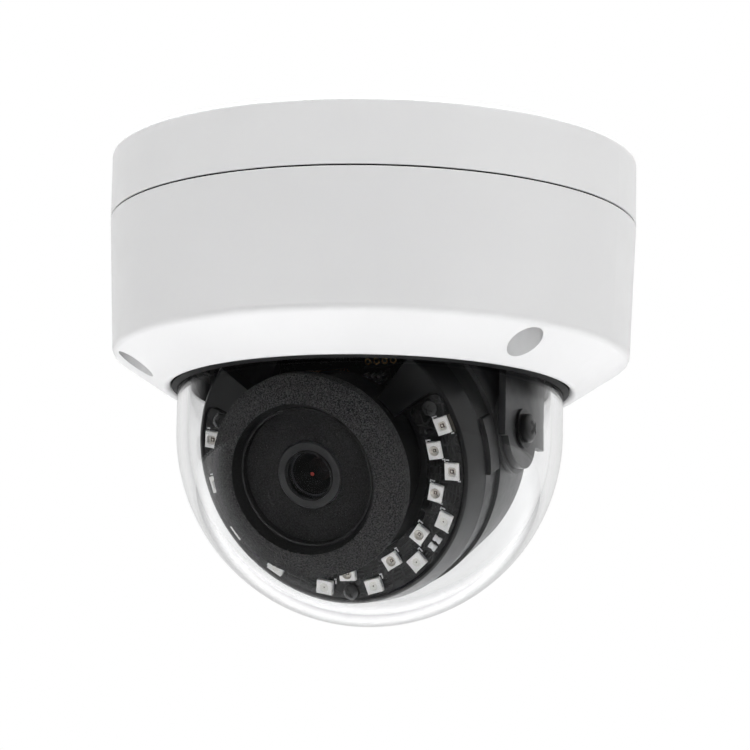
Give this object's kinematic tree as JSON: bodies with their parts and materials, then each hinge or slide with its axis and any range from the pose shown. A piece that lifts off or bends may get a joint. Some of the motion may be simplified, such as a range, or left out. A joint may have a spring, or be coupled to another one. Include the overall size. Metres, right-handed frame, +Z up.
{
  "type": "dome security camera",
  "caption": "Ceiling dome security camera: white round housing, clear dome and a pan, tilt and rotate camera ball with a lens and infrared lamps.",
  "frame": {"origin": "centre of the base's face that lies on the ceiling, on the pan axis", "axes": "+Z up into the ceiling along the pan axis; the lens looks towards -Y at rest; +X is to the camera's left as seen from the front"},
  "size_m": [0.11, 0.11, 0.0979],
  "materials": {
    "white_paint": "satin",
    "black_rubber": "matt",
    "green_board": "satin",
    "brass": "satin",
    "zinc_steel": "satin",
    "stainless_steel": "satin",
    "white_plastic": "matt",
    "nylon": "matt",
    "capacitor_can": "gloss",
    "card_slot_steel": "satin",
    "black_plastic": "matt",
    "button_plastic": "matt",
    "support_plastic": "matt",
    "clear_dome": "polished",
    "liner_black": "satin",
    "yoke_paint": "satin",
    "cradle_grey": "satin",
    "black_screws": "gloss",
    "washer_black": "gloss",
    "ball_black": "satin",
    "ball_grey": "satin",
    "gloss_black": "gloss",
    "black_foam": "matt open-cell",
    "surround_black": "fine grain",
    "lens_black": "anodised satin",
    "lens_ring_bright": "polished",
    "lens_glass": "coated",
    "copper_coil": "enamelled",
    "sensor_chip": "gloss",
    "solder": "bright",
    "gold_pins": "bright",
    "heat_pad": "matt",
    "bare_aluminium": "satin",
    "black_board": "gloss",
    "led_package": "satin",
    "resistor_body": "satin",
    "light_sensor": "gloss",
    "ir_cut_glass": "coated",
    "plain_glass": "polished"
  },
  "bodies": {
    "housing": {"mounting_base": "white_paint", "cable_grommet": "black_rubber", "base_gasket": "black_rubber", "power_board": "green_board", "board_standoffs": "brass", "board_standoff_screws": "zinc_steel", "network_connector": "white_plastic", "network_connector_pins": "solder", "board_capacitors": "capacitor_can", "memory_card_slot": "card_slot_steel", "reset_switch": "black_plastic", "pan_support": "support_plastic", "pan_support_screws": "zinc_steel"},
    "reset": {"reset_button": "button_plastic"},
    "cover": {"cover_shell": "white_paint", "cover_screws": "stainless_steel", "screw_retaining_rings": "nylon", "dome_bubble": "clear_dome", "dome_gasket": "black_rubber", "dome_clamp_ring": "black_plastic", "inner_liner": "liner_black", "dome_clamp_screws": "zinc_steel"},
    "pan": {"yoke_bracket": "yoke_paint", "pan_retainer": "support_plastic", "pan_retainer_screws": "zinc_steel", "pan_friction_washer": "nylon"},
    "tilt": {"cradle_ring": "cradle_grey", "tilt_screws": "black_screws", "tilt_washers": "washer_black"},
    "camera_ball": {"front_shell": "ball_black", "middle_shell": "ball_grey", "rear_shell": "ball_grey", "ball_screws": "black_screws", "shroud_tube": "gloss_black", "foam_ring": "black_foam", "lens_surround": "surround_black", "lens_barrel": "lens_black", "lens_ring": "lens_ring_bright", "lens_front_element": "lens_glass", "lens_second_element": "lens_glass", "lens_rear_element": "lens_glass", "lens_holder": "black_plastic", "filter_coil": "copper_coil", "sensor_board": "green_board", "image_sensor": "sensor_chip", "solder_pads": "solder", "pin_header_base": "black_plastic", "pin_header_pins": "gold_pins", "heat_pad": "heat_pad", "heat_sink": "bare_aluminium", "lamp_board": "black_board", "lamp_board_screws": "black_screws", "infrared_leds": "led_package", "lamp_board_resistors": "resistor_body", "light_sensor": "light_sensor"},
    "filter": {"filter_carriage": "black_plastic", "infrared_cut_filter": "ir_cut_glass", "clear_filter": "plain_glass"}
  },
  "joints": [
    {"name": "pan", "type": "hinge", "parent": "housing", "child": "pan", "pos_m": [0, 0, 0], "axis": [0, 0, 1], "range_deg": [-177.5, 177.5]},
    {"name": "tilt", "type": "hinge", "parent": "pan", "child": "tilt", "pos_m": [0, 0, -0.0586], "axis": [1, 0, 0], "range_deg": [-23.4, 51.6]},
    {"name": "lens_rotation", "type": "hinge", "parent": "tilt", "child": "camera_ball", "pos_m": [0, 0, -0.0586], "axis": [0, -0.9178, -0.3972], "range_deg": [-177.5, 177.5]},
    {"name": "cover_release", "type": "slide", "parent": "housing", "child": "cover", "axis": [0, 0, -1], "range_m": [0, 0.06]},
    {"name": "filter_slide", "type": "slide", "parent": "camera_ball", "child": "filter", "axis": [1, 0, 0], "range_m": [0, 0.0075]},
    {"name": "reset_press", "type": "slide", "parent": "housing", "child": "reset", "axis": [0, 0, 1], "range_m": [0, 0.0003], "stiffness_N_per_m": 200}
  ]
}
